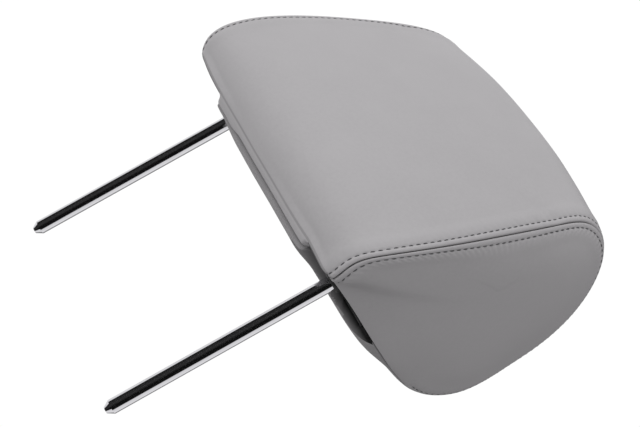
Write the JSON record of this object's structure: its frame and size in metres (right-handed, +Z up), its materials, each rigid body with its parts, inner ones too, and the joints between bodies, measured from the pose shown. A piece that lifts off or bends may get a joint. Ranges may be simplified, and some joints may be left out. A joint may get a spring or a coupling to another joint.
{
  "type": "head restraint",
  "caption": "Padded head restraint in grey leather that tilts on a chrome rod, whose straight legs slide into guide sleeves in a seat back.",
  "frame": {"origin": "midway between the flat lower ends of the posts, on the line that joins the posts' axes", "axes": "+Z up along the posts, +X across the cushion towards the post with the notches, +Y to the front, where the head rests"},
  "size_m": [0.279, 0.1976, 0.3465],
  "materials": {
    "chrome": "bright chrome plate",
    "zinc_steel": "zinc plated, matt",
    "fastener_steel": "zinc plated",
    "spring_steel": "blued spring steel",
    "black_rubber": "soft matt",
    "black_plastic": "moulded, fine grain",
    "dark_plastic": "extruded, satin",
    "nylon": "natural, smooth",
    "foam": "open-cell polyurethane foam",
    "grey_leather": "fine grain, satin",
    "underside_leather": "fine grain, satin, darker"
  },
  "bodies": {
    "post_frame": {"armature_rod": "chrome", "stop_lug": "zinc_steel", "retaining_rings": "zinc_steel", "post_grommet_left": "black_rubber", "post_grommet_right": "black_rubber"},
    "cushion": {"carrier_front": "black_plastic", "carrier_rear": "black_plastic", "carrier_screws": "fastener_steel", "clip_clamp_screw": "fastener_steel", "closure_catch": "dark_plastic", "closure_hook": "dark_plastic", "cover_back_panel": "grey_leather", "cover_bottom_front_flap": "underside_leather", "cover_bottom_rear_flap": "grey_leather", "cover_front_panel": "grey_leather", "cover_side_left": "grey_leather", "cover_side_right": "grey_leather", "foam_front_pad": "foam", "foam_rear_pad": "foam", "friction_clip": "spring_steel", "hinge_bracket_left": "zinc_steel", "hinge_bracket_right": "zinc_steel", "hinge_bush_left": "nylon", "hinge_bush_right": "nylon", "plate_bolts": "fastener_steel", "plate_nuts": "fastener_steel", "plate_screws": "fastener_steel", "slot_liner_left": "dark_plastic", "slot_liner_right": "dark_plastic", "support_plate": "zinc_steel"}
  },
  "joints": [
    {"name": "cushion_tilt", "type": "hinge", "parent": "post_frame", "child": "cushion", "pos_m": [0, 0, 0.238], "axis": [-1, 0, 0], "range_deg": [-8, 16]}
  ]
}
